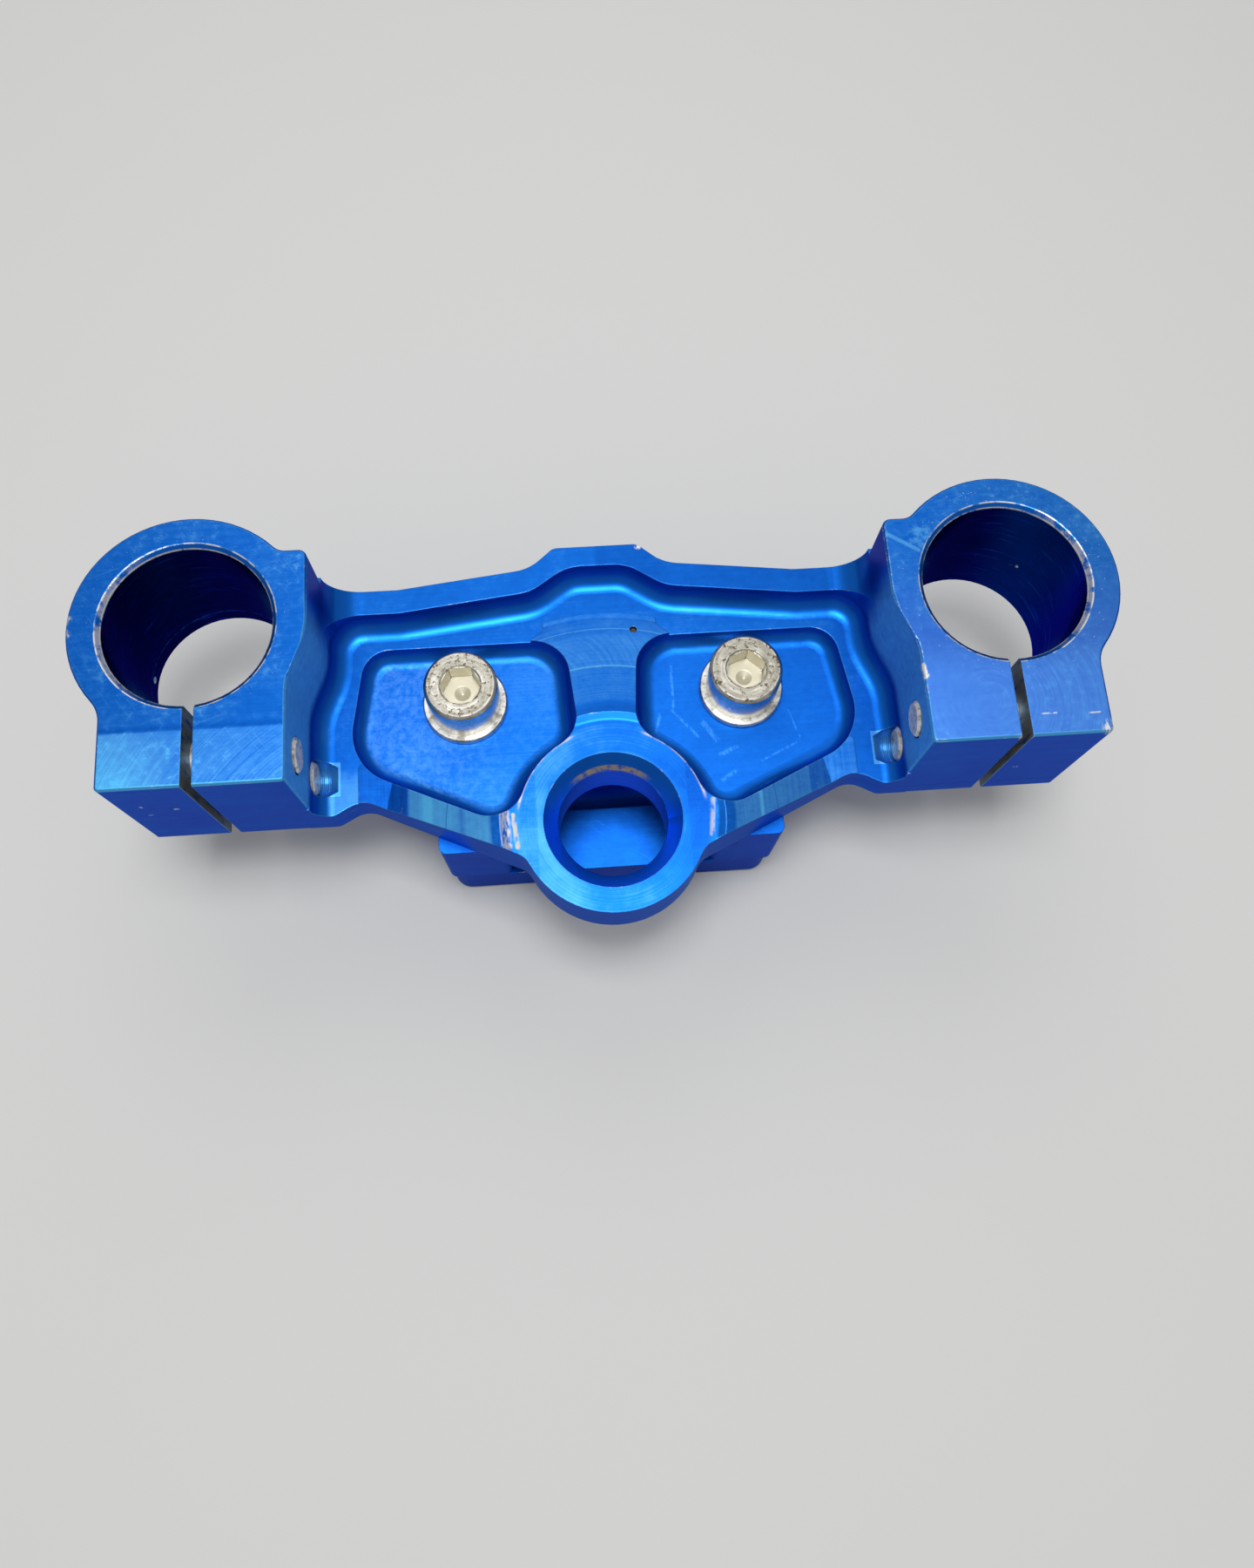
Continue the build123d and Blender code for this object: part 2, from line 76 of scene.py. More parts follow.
# Places on the yoke that the frame doesn't give, in millimetres
EAR_FRONT = 7.0
LEFT_CUT_BACK = 20.5  # the light cut on the left ear ends here, along Y
RIM_TOP = 17.1
GROOVE_FLOOR = 10.0
FLANGE_SIDE = 65.0  # half width of the flange in front of the pockets
NECK_SIDE = 19.0  # half width of the hub between the pockets
FLANGE_BACK = 24.0  # along Y, as are the next three
SPLIT_BACK = 27.0
NECK_BACK = 44.0
RIM_FRONT = 46.0
HUB_RADIUS = 59.5
INNER_STEP, OUTER_STEP = 42.5, 54.4  # radii of the painted highlights along the hub's turned steps
BOSS_RADIUS = 24.0
SEAT_INNER = 17.7  # radius where the boss meets the chamfer of the stem bore
WALL_INNER, WALL_OUTER = 69.0, 77.0  # the inner walls of the fork clamps wind between these
TAP_RADIUS = 4.8
PIT = (9.0, 53.8)
PIT_RADIUS = 0.9

# Middles of the arcs that the cutters left on the left ear, the right ear and the hub
LEFT_CUTTER = (-51.0, -23.0)
RIGHT_CUTTER = (91.3, 16.3)
HUB_CUTTER = (-14.0, 39.0)

# Camera, in millimetres, at the photograph's place
EYE = Vector((-9.02, -80.65, 315.35))
EYE_RIGHT = Vector((0.9973, -0.0698, 0.0228))
EYE_UP = Vector((0.0603, 0.9564, 0.2859))
FRAME_HEIGHT = 1800
FOCAL_LENGTH = 1407.9  # in pixels of that height
AXIS_BELOW_MIDDLE = 5  # pixels from the middle of the frame to the optical axis
SENSOR = 36.0
NEAREST, FARTHEST = 0.01, 50.0  # what the camera sees, in metres

# Studio
FLOOR_REACH = 20000.0  # from the middle, in millimetres
LIT_POINT = (0.0, 30.0, 0.0)  # where the lamps point, in millimetres
WHITE = (1.0, 1.0, 1.0, 1.0)
SURROUND_LEVEL = 0.38

# Colours, linear
DEEP_BLUE = (0.0005, 0.016, 0.07)
INK_BLUE = (0.003, 0.055, 0.35)
BLUE = (0.007, 0.135, 0.61)
SKY_BLUE = (0.065, 0.30, 0.74)
CYAN = (0.10, 0.50, 0.90)
HAZE_BLUE = (0.085, 0.22, 0.78)
WASHED_BLUE = (0.085, 0.18, 0.44)
BLUE_EDGE = (0.0, 0.24, 0.55, 1.0)  # tint of the gloss at a low angle
BARE_METAL = (0.72, 0.72, 0.70)
CREAM = (0.58, 0.54, 0.43)
TAN = (0.40, 0.31, 0.22)
SAWN_METAL = (0.46, 0.45, 0.42)
WARM_STEEL = (0.45, 0.43, 0.37)
DULL_STEEL = (0.27, 0.26, 0.22)
CLEAN_STEEL = (0.80, 0.79, 0.74)
OILED_STEEL = (0.73, 0.69, 0.54)
GRIME = (0.10, 0.075, 0.045)
BRIGHT_STEEL = (0.66, 0.66, 0.64)
PALE_FLOOR = (0.62, 0.62, 0.61)
FLOOR_SHADE = (0.56, 0.56, 0.55)

# The blue of the anodising, from dark to light
ANODISED = [(0.0, DEEP_BLUE), (0.25, INK_BLUE), (0.5, BLUE), (0.75, SKY_BLUE), (1.0, CYAN)]
METAL_SHARE = 0.84  # how far the anodised skin mirrors like bare metal

# Screws, in millimetres
PINCH_BOLT = SimpleNamespace(pitch=1.5875, shank=9.5, head_width=14.3, head_height=9.5, hex_size=7.9)
CAP_SCREW = SimpleNamespace(pitch=1.25, shank=8.0, head_width=13.0, head_height=8.0, hex_size=6.0)
RISER_SOCKET_DEPTH = 8.0  # with room for the drill point at its foot

# Form of the threaded, knurled screws, in millimetres where nothing else is said
THREAD_DEPTH = 0.6  # for each unit of pitch
THREAD_CREST = 0.2  # share of the pitch that is flat
THREADED_SHARE = 0.66  # of the shank's length
THREAD_RUNOUT = 0.4
TIP_CHAMFER = 0.9
TIP_STEP = 0.3  # from the root of the thread in to the face of the tip
FOOT_WIDTH, FOOT_HEIGHT = 0.5, 0.4  # chamfer where the head meets its seat
KNURL_DEPTH = 0.16
KNURL_TOP = 0.78  # share of the head's height, as are the next three
BAND_BOTTOM = 0.8
HEAD_CHAMFER = 0.08
SOCKET_FLOOR = 0.5
SOCKET_LEAD = 0.5
DRILL_RADIUS = 0.23  # for each unit of hex size
DRILL_DEPTH = 0.4  # for each unit of the drill's radius, as is its tip
DRILL_TIP = 0.1
SEGMENTS = 96
RINGS_PER_TURN = 8

# Last turns of the tapped holes, in millimetres and degrees
RIDGE = 0.3
RIDGE_TURNS = 2
RIDGE_SETBACK = 0.6  # first turn from the bolt's end
RIDGE_START, RIDGE_SWEEP = -165.0, 150.0
RIDGE_STEPS = 28
RIDGE_SECTION = 8
RIDGE_THIN = 0.15  # share of the thickness that is left at the ends

# Bands of painted light and shade across the flange, where the cutter's facets catch or miss the light,
# as (from, to, soft edge, change of lightness) along X
FLANGE_PAINTED_BANDS = [
    (-64.8, -53.0, 1.0, -0.12),
    (-51.5, -29.0, 1.2, 0.34),
    (27.5, 51.5, 0.8, 0.12),
]

# Lines of painted highlight and shade across the flange, at the edges of the cutter's facets, as
# (place, width, change of lightness) along X
FLANGE_PAINTED_LINES = [
    (-47.0, 2.4, 0.20),
    (-38.2, 1.4, -0.18),
    (38.2, 0.8, 0.30),
]

# On the clamps' top faces: a light corner on the left one, a light line and a smear on the right one
LIGHT_CORNER = (-118.0, 8.0)
LIGHT_LINE = ((71.6, 62.3), (79.4, 57.2), 0.8)
SMEAR = ((80.5, 61.0, CLAMP_TOP), 4.0)

# Gouges in the flange on each side of the boss, as (start, end, width) in the plan
GOUGES = [
    ((-27.4, 3.0), (-27.0, -5.5), 1.7),
    ((-25.2, 2.4), (-24.3, -5.9), 0.8),
]
FAINT_GOUGE = ((25.6, 3.5), (24.6, -5.5), 0.9)

# Scuffs on the pocket floors, as (start, end, width) in the plan
SCUFFS = [
    ((-52.5, 18.1), (-38.0, 8.0), 0.8),
    ((18.7, 44.7), (18.5, 33.0), 0.6),
    ((14.8, 31.0), (13.2, 26.0), 0.7),
    ((18.0, 32.1), (24.6, 24.0), 0.6),
    ((26.0, 28.2), (29.4, 23.0), 1.1),
    ((30.1, 18.8), (34.3, 20.7), 0.9),
    ((29.9, 11.8), (33.4, 13.8), 0.9),
    ((40.8, 16.4), (50.5, 20.9), 0.5),
    ((49.3, 30.2), (51.6, 22.6), 0.4),
]

# Short bare scratches on the right clamp, as (start, end, width) in the plan
DASHES = [
    ((103.1, 12.5), (106.5, 12.5), 0.32),
    ((114.5, 12.0), (117.0, 12.1), 0.32),
    ((76.1, 26.8), (75.8, 24.6), 0.55),
    ((76.7, 25.7), (76.5, 23.4), 0.55),
]

# Bare knocks on corners, edges, ear fronts and bores, as (middle, radius)
KNOCKS = [
    ((119.4, 7.9, CLAMP_TOP - 0.4), 3.0),
    ((75.9, 26.2, CLAMP_TOP - 0.3), 1.4),
    ((76.4, 24.2, CLAMP_TOP - 0.3), 1.4),
    ((73.0, 35.5, CLAMP_TOP - 0.3), 0.9),
    ((74.3, 33.2, CLAMP_TOP - 0.3), 0.8),
    ((-128.3, 50.5, CLAMP_TOP - 0.8), 1.8),
    ((-128.3, 47.0, CLAMP_TOP - 0.8), 1.8),
    ((11.6, 75.6, RIM_TOP - 0.2), 1.3),
    ((98.6, EAR_FRONT, CLAMP_TOP - 1.0), 2.2),
    ((-113.8, EAR_FRONT, 28.1), 0.8),
    ((-113.8, EAR_FRONT, 21.0), 0.8),
    ((-106.4, EAR_FRONT, 24.9), 0.9),
    ((-109.5, EAR_FRONT, 16.7), 0.7),
    ((103.8, EAR_FRONT, 17.8), 0.8),
    ((113.3, 63.4, 17.6), 0.8),
    ((112.1, 64.4, 16.8), 0.6),
    ((-120.4, 49.9, 4.0), 1.2),
]


class Field:
    """A number that varies over a surface: one socket of a material's nodes."""

    def __init__(self, socket):
        self.socket = socket

    def combine(self, operation, *others):
        """The result of a Math node on this field and others."""
        node = self.socket.id_data.nodes.new("ShaderNodeMath")
        node.operation = operation
        for slot, value in zip(node.inputs, (self, *others)):
            feed(slot, value)
        return Field(node.outputs[0])

    def __add__(self, other):
        return self.combine("ADD", other)

    def __sub__(self, other):
        return self.combine("SUBTRACT", other)

    def __mul__(self, other):
        return self.combine("MULTIPLY", other)

    def __abs__(self):
        return self.combine("ABSOLUTE")

    def outside(self):
        """1 where the field is 0, and 0 where it is 1."""
        return self * -1.0 + 1.0

    def held(self):
        """The field kept between 0 and 1."""
        return self.combine("MINIMUM", 1.0).combine("MAXIMUM", 0.0)

    def rise(self, low, high):
        """0 below low, 1 above high, smooth between."""
        node = self.socket.id_data.nodes.new("ShaderNodeMapRange")
        node.interpolation_type = "SMOOTHSTEP"
        feed(node.inputs["Value"], self)
        node.inputs["From Min"].default_value = low
        node.inputs["From Max"].default_value = high
        return Field(node.outputs["Result"])

    def fall(self, low, high):
        """1 below low, 0 above high, smooth between."""
        node = self.rise(low, high).socket.node
        node.inputs["To Min"].default_value = 1.0
        node.inputs["To Max"].default_value = 0.0
        return Field(node.outputs["Result"])

    def band(self, low, high, edge):
        """1 between low and high, with soft edges of the given width."""
        return self.rise(low - edge, low) * self.fall(high, high + edge)

    def line(self, place, width):
        """1 at a place, fading to 0 at the given width on each side."""
        return abs(self - place).fall(0.0, width)


def feed(slot, value):
    """Links a field or a socket to a slot, or sets a plain number there."""
    if isinstance(value, Field):
        value = value.socket
    if isinstance(value, bpy.types.NodeSocket):
        slot.id_data.links.new(value, slot)
    else:
        slot.default_value = value


def distance(*parts):
    """Length of the way made of these parts."""
    square = parts[0] * parts[0]
    for part in parts[1:]:
        square = part.combine("MULTIPLY_ADD", part, square)
    return square.combine("SQRT")


def total(fields):
    """The sum of some fields."""
    first, *others = fields
    for field in others:
        first = first + field
    return first


class Surface:
    """A material in the making, with the place on the object in millimetres."""

    def __init__(self, name, **values):
        self.material = bpy.data.materials.new(name)
        self.material.use_nodes = True
        self.nodes = self.material.node_tree.nodes
        self.shader = self.nodes["Principled BSDF"]
        for socket, value in values.items():
            self.shader.inputs[socket.replace("_", " ")].default_value = value
        self.point = self.place()
        self.x, self.y, self.z = self.split(self.point)
        self.nx, _, self.nz = self.split(self.true_normal())

    def true_normal(self):
        """The surface's own normal, as a socket."""
        return self.nodes.new("ShaderNodeNewGeometry").outputs["Normal"]

    def place(self):
        """The place on the object in millimetres, as a socket."""
        scale = self.nodes.new("ShaderNodeVectorMath")
        scale.operation = "SCALE"
        scale.inputs["Scale"].default_value = 1 / MM
        feed(scale.inputs[0], self.nodes.new("ShaderNodeTexCoord").outputs["Object"])
        return scale.outputs[0]

    def split(self, vector):
        """The three fields of a vector."""
        node = self.nodes.new("ShaderNodeSeparateXYZ")
        feed(node.inputs[0], vector)
        return [Field(socket) for socket in node.outputs]

    def join(self, *parts):
        """A vector of three fields or numbers."""
        node = self.nodes.new("ShaderNodeCombineXYZ")
        for slot, part in zip(node.inputs, parts):
            feed(slot, part)
        return node.outputs[0]

    def away(self, point):
        """Distance from a point of the plan."""
        return distance(self.x - point[0], self.y - point[1])

    def noise(self, scale, detail=3.0, roughness=0.55, along=None):
        """Noise from 0 to 1: so many features to the millimetre, or along the given three fields."""
        node = self.nodes.new("ShaderNodeTexNoise")
        node.inputs["Scale"].default_value = scale
        node.inputs["Detail"].default_value = detail
        node.inputs["Roughness"].default_value = roughness
        feed(node.inputs["Vector"], self.join(*along) if along else self.point)
        return Field(node.outputs["Fac"])

    def ramp(self, field, stops):
        """Colours along a field, from (place, colour) stops."""
        node = self.nodes.new("ShaderNodeValToRGB")
        elements = node.color_ramp.elements
        while len(elements) < len(stops):
            elements.new(0.5)
        for element, (place, colour) in zip(elements, stops):
            element.position = place
            element.color = (*colour, 1.0)
        feed(node.inputs[0], field)
        return node.outputs[0]

    def mix(self, share, first, second):
        """One colour going over into another; each is a socket or a plain colour."""
        node = self.nodes.new("ShaderNodeMix")
        node.data_type = "RGBA"
        feed(node.inputs["Factor"], share)
        slots = [slot for slot in node.inputs if slot.type == "RGBA"]
        for slot, colour in zip(slots, (first, second)):
            feed(slot, (*colour, 1.0) if isinstance(colour, tuple) else colour)
        return [socket for socket in node.outputs if socket.type == "RGBA"][0]

    def eased_normal(self, radius):
        """The normal with sharp edges broken by a small radius."""
        node = self.nodes.new("ShaderNodeBevel")
        node.samples = 4
        node.inputs["Radius"].default_value = radius * MM
        return node.outputs[0]

    def edge(self, eased):
        """1 on sharp edges, where an eased normal leaves the true one, 0 on smooth faces."""
        node = self.nodes.new("ShaderNodeVectorMath")
        node.operation = "DOT_PRODUCT"
        feed(node.inputs[0], eased)
        feed(node.inputs[1], self.true_normal())
        return Field(node.outputs["Value"]).fall(0.93, 0.995)

    def bump(self, height, depth, normal):
        """The normal roughened by a height field of the given depth in millimetres."""
        node = self.nodes.new("ShaderNodeBump")
        node.inputs["Strength"].default_value = 1.0
        node.inputs["Distance"].default_value = depth * MM
        feed(node.inputs["Height"], height)
        feed(node.inputs["Normal"], normal)
        return node.outputs[0]

    def stroke(self, start, end, width):
        """1 along a straight scratch between two points of the plan."""
        along = Vector(end) - Vector(start)
        across_x = self.x - start[0]
        across_y = self.y - start[1]
        share = across_x * (along.x / along.length_squared)
        share = across_y.combine("MULTIPLY_ADD", along.y / along.length_squared, share).held()
        way_x = share.combine("MULTIPLY_ADD", -along.x, across_x)
        way_y = share.combine("MULTIPLY_ADD", -along.y, across_y)
        return distance(way_x, way_y).fall(0.25 * width, width)

    def spot(self, centre, radius):
        """1 at a point in space, fading to 0 at the radius."""
        parts = [field - value for field, value in zip((self.x, self.y, self.z), centre)]
        return distance(*parts).fall(0.5 * radius, radius)

    def hair(self, angle, seed):
        """Fine scratches of the plan, all in about one direction."""
        turn = math.radians(angle)
        along = self.x * math.cos(turn) + self.y * math.sin(turn)
        across = self.y * math.cos(turn) - self.x * math.sin(turn)
        return self.noise(1.0, detail=1.0, along=(along * 0.07, across * 2.0, seed)).rise(0.66, 0.74)

    def finish(self, colour, roughness, normal, metallic=None):
        """Feeds the shader, and returns the material."""
        feed(self.shader.inputs["Base Color"], colour)
        feed(self.shader.inputs["Roughness"], roughness)
        feed(self.shader.inputs["Normal"], normal)
        if metallic is not None:
            feed(self.shader.inputs["Metallic"], metallic)
        return self.material


def anodised_surface(name):
    """A surface that shines like anodised metal."""
    return Surface(
        name,
        Metallic=METAL_SHARE,
        Specular_Tint=BLUE_EDGE,
        Coat_Weight=0.01,
        Coat_Roughness=0.18,
        Coat_IOR=1.6,
    )


def yoke_zones(s):
    """Where each milled face of the yoke lies, as masks from 0 to 1, and the distances they use."""
    side = abs(s.x)
    fork = distance(side - FORK_X, s.y - FORK_Y)
    stem = distance(s.x, s.y)
    tap = distance(s.y - PINCH_Y, s.z - PINCH_LOW)
    up = s.nz.rise(0.9, 0.98)
    sideways = abs(s.nx).rise(0.55, 0.85)
    left = s.x.fall(-1.0, 1.0)
    right = s.x.rise(-1.0, 1.0)
    top = s.z.rise(CLAMP_TOP - 0.3, CLAMP_TOP - 0.1) * up

    hub = stem.fall(HUB_RADIUS + 0.1, HUB_RADIUS + 0.4) * up
    hub = hub * (side.fall(NECK_SIDE, NECK_SIDE + 0.4) + s.y.rise(NECK_BACK, NECK_BACK + 2.0)).held()
    boss = stem.band(SEAT_INNER + 0.2, BOSS_RADIUS, 2.5) * up
    flange = s.z.band(GROOVE_FLOOR + 0.2, RIM_TOP - 0.1, 0.3) * up
    flange = flange * s.y.fall(FLANGE_BACK, FLANGE_BACK + 2.0)
    flange = flange * side.band(NECK_SIDE + 0.8, FLANGE_SIDE - 0.2, 0.2)
    notch = s.z.band(GROOVE_FLOOR - 0.3, GROOVE_FLOOR + 0.4, 0.2) * up * s.y.fall(14.0, 22.0)
    wall = sideways * side.band(WALL_INNER, WALL_OUTER, 1.0) * s.z.rise(14.0, 20.0)
    shoulder = sideways * side.band(WALL_INNER + 0.5, WALL_OUTER, 1.0) * s.z.rise(15.0, 20.0)
    tapped = tap.fall(TAP_RADIUS, TAP_RADIUS + 0.1)
    tap_rim = tap.fall(TAP_RADIUS + 1.0, TAP_RADIUS + 1.6)
    # The chamfer along the ears' top front edge, which carries a painted highlight.
    lit_lip = s.y.fall(EAR_FRONT + 0.6, EAR_FRONT + 0.9) * s.nz.rise(0.3, 0.5)
    stem_bore = stem.fall(STEM_RADIUS + 0.1, STEM_RADIUS + 0.3)
    split = side.band(FORK_X - 2.7, FORK_X + 0.3, 0.1) * abs(s.nx).rise(0.8, 0.95)
    return SimpleNamespace(
        side=side,
        fork=fork,
        stem=stem,
        up=up,
        left=left,
        right=right,
        top=top,
        left_front=top * left * s.y.fall(LEFT_CUT_BACK, LEFT_CUT_BACK + 0.8),
        right_front=top * right * s.y.fall(22.0, 33.0),
        hub=hub * s.z.rise(GROOVE_FLOOR + 0.03, GROOVE_FLOOR + 0.1),
        boss=boss * s.z.rise(RIM_TOP - 2.1, RIM_TOP - 0.6),
        chamfer=stem.fall(SEAT_INNER - 0.2, SEAT_INNER + 0.1) * s.z.rise(STEM_WALL - 0.2, STEM_WALL),
        floor=s.z.band(POCKET_FLOOR - 0.1, POCKET_FLOOR + 0.1, 0.4),
        flange=flange * stem.rise(BOSS_RADIUS + 2.0, BOSS_RADIUS + 6.0),
        rim=s.z.band(RIM_TOP - 0.1, RIM_TOP + 0.1, 0.1) * up * s.y.rise(RIM_FRONT, RIM_FRONT + 4.0),
        notch=notch * side.rise(FLANGE_SIDE - 0.2, FLANGE_SIDE + 0.2),
        wall=wall * s.y.fall(44.0, 58.0),
        shoulder=shoulder * s.y.rise(50.0, 58.0),
        tapped=tapped * side.band(WALL_INNER + 0.8, WALL_OUTER - 1.0, 0.3),
        tap_rim=tap_rim * side.band(WALL_INNER - 3.0, WALL_OUTER - 3.0, 0.5),
        lit_lip=lit_lip * s.z.rise(CLAMP_TOP - 0.8, CLAMP_TOP - 0.6),
        bore=fork.fall(TUBE_RADIUS + 0.1, TUBE_RADIUS + 0.3) * abs(s.nz).fall(0.3, 0.5),
        stem_bore=stem_bore * s.z.fall(STEM_WALL - 0.4, STEM_WALL),
        split=split * s.y.fall(SPLIT_BACK, SPLIT_BACK + 1.0),
    )


def yoke_marks(s, on):
    """What the cutters, handling and age left on the faces, as noise."""
    return SimpleNamespace(
        cloud=s.noise(0.06, detail=4.0),
        mottle=s.noise(0.5, detail=5.0, roughness=0.7),
        speck=s.noise(1.6, detail=2.0),
        breakup=s.noise(0.35, detail=4.0, roughness=0.65),
        crumbs=s.noise(1.3, detail=3.0, roughness=0.6),
        turned=s.noise(1.0, detail=3.0, along=(on.stem * 2.2, s.x * 0.03, s.y * 0.03)),
        milled=s.noise(1.0, detail=3.0, along=(s.x * 0.04, s.y * 1.8, s.z * 1.8)),
        left_arcs=s.noise(1.0, detail=3.0, along=(s.away(LEFT_CUTTER) * 1.9, s.y * 0.05, 0.0)),
        right_arcs=s.noise(1.0, detail=3.0, along=(s.away(RIGHT_CUTTER) * 1.4, s.y * 0.06, s.x * 0.03)),
        swirls=s.noise(1.0, detail=2.0, along=(s.away(HUB_CUTTER) * 1.1, s.x * 0.02, s.y * 0.02)),
        planed=s.noise(1.0, detail=2.0, along=(s.x * 1.2, s.y * 0.02, 0.0)),
        walled=s.noise(1.0, detail=3.0, along=(s.x * 0.05, s.y * 0.05, s.z * 1.5)),
        rubs=s.noise(1.0, detail=2.0, along=(s.x * 0.08, s.y * 0.08, s.z * 2.0)).rise(0.60, 0.74),
        torn=s.noise(1.0, detail=4.0, roughness=0.6, along=(s.x * 1.3, s.y * 0.4, s.z * 0.3)),
        sawn=s.noise(1.0, detail=2.0, along=(s.x * 0.1, s.y * 0.8, s.z * 0.15)),
        hairs=s.hair(20.0, 3.0) + s.hair(-55.0, 11.0),
    )


def yoke_scuffs(s, on, marks):
    """Where things were dragged over the blue of the pocket floors."""
    dragged = total(s.stroke(*scuff) for scuff in SCUFFS) * marks.torn.rise(0.30, 0.62)
    haze = marks.mottle.rise(0.42, 0.72) * s.x.fall(-46.0, -20.0) * 0.5
    return ((dragged + haze + marks.hairs * 0.25) * on.floor).held()


def face_tone(s, on, marks, sharp):
    """Lightness of the blue all over, with edges lightened by wear and a painted highlight, painted
    shade in the bores, a painted reflection on the clamps' inner walls and painted shade on their
    shoulders.
    """
    mottle = marks.mottle - 0.5
    tone = marks.cloud * 0.18 + 0.40 + mottle * on.up * 0.20
    tone = tone + (marks.milled - 0.5) * on.up * on.hub.outside() * 0.12
    flanks = abs(s.nz).fall(0.2, 0.4) * on.bore.outside()
    tone = tone + flanks * ((marks.walled - 0.5) * 0.16 + mottle * 0.10)
    # Sharp edges are painted lighter, partly as worn edges and partly as a painted highlight, held back
    # round the tapped hole's rim; the tapped notch is painted lighter to lift the shade on its cone
    # end.
    tone = tone + sharp * (on.tap_rim * -0.26 + 0.28) + on.tapped * 0.3
    # The clamps' inner walls are painted lighter with mottling, a painted reflection, and their upper
    # shoulders darker, a painted shade.
    tone = tone + on.wall * (mottle * 0.4 + on.left * 0.08 + 0.34) + on.shoulder * -0.2
    # The fork bores are painted darker, a painted shade in the bores, with lighter rub marks and a
    # lighter outer side on the right bore.
    tone = tone + on.bore * (marks.rubs * 0.24 + s.x.rise(96.0, 118.0) * 0.18 - 0.5)
    tone = tone + on.stem_bore * 0.08 + on.chamfer * -0.06
    tone = tone + on.floor * (on.right * -0.07 + 0.03)
    return tone + on.notch * on.left * 0.18 + on.rim * on.right * -0.09


def clamp_top_tone(s, on, marks):
    """Change of lightness on the clamps' top faces: stains, cutter arcs and a painted highlight along
    the front edge.
    """
    stains = marks.mottle.rise(0.52, 0.70) * marks.cloud.rise(0.42, 0.60) * 0.18
    tone = marks.hairs * 0.07 + stains + on.right * 0.02 + s.x.rise(95.0, 125.0) * 0.05 + 0.03
    tone = tone + on.left * s.y.line(LEFT_CUT_BACK + 1.1, 1.2) * -0.10
    tone = tone + s.stroke(*LIGHT_LINE) * 0.26
    smear = s.spot(*SMEAR) * marks.mottle.rise(0.4, 0.6)
    tone = on.top * (tone + smear * 0.22)

    light_corner = s.away(LIGHT_CORNER).fall(2.0, 20.0) * 0.26
    tone = tone + on.left_front * ((marks.left_arcs - 0.5) * 0.42 + light_corner + 0.11)
    right_arcs = (marks.right_arcs - 0.5) * marks.cloud.rise(0.3, 0.6) * 0.6
    # The last term paints a highlight along the ears' front edge.
    return tone + on.right_front * (right_arcs + 0.13) + on.lit_lip * 0.4


def hub_tone(s, on, marks):
    """Change of lightness on the turned hub, with its swirls, painted highlights along its steps and
    painted shade at its crest, and on the boss, with its lit side painted lighter.
    """
    turned = marks.turned - 0.5
    swirl_band = on.stem.band(INNER_STEP + 0.7, OUTER_STEP - 2.4, 1.0)
    swirl_band = swirl_band * ((marks.swirls - 0.5) * 0.22 + 0.06)
    # Painted highlights along the hub's turned steps, and painted shade over the crest beside the boss.
    step_highlights = on.stem.line(INNER_STEP, 0.5) * 0.36 + on.stem.line(OUTER_STEP, 0.45) * 0.22
    crest_shade = on.stem.band(BOSS_RADIUS + 3.0, BOSS_RADIUS + 6.0, 3.0) * -0.16
    tone = on.hub * (turned * 0.16 + swirl_band + step_highlights + crest_shade + 0.06)
    lit_side = (s.x + s.y * 0.1).fall(-20.0, 6.0) * 0.17
    return tone + on.boss * (turned * 0.08 + (marks.cloud - 0.5) * 0.3 + lit_side - 0.09)


def flange_tone(s, on, marks):
    """Painted light and shade in bands and lines across the flange, where the cutter's facets catch or
    miss the light, on each side of the boss, with planing marks.
    """
    bands = total(s.x.band(low, high, edge) * change for low, high, edge, change in FLANGE_PAINTED_BANDS)
    lines = total(s.x.line(place, width) * change for place, width, change in FLANGE_PAINTED_LINES)
    right_side = s.x.rise(NECK_SIDE, NECK_SIDE + 9.0) * 0.07
    return on.flange * (bands + lines + right_side + (marks.planed - 0.5) * 0.25)


def yoke_tone(s, on, marks, scuffs, sharp):
    """How light the blue is, from 0 for the darkest to 1 for cyan."""
    tone = face_tone(s, on, marks, sharp) + clamp_top_tone(s, on, marks)
    return (tone + hub_tone(s, on, marks) + flange_tone(s, on, marks) + scuffs * 0.16).held()


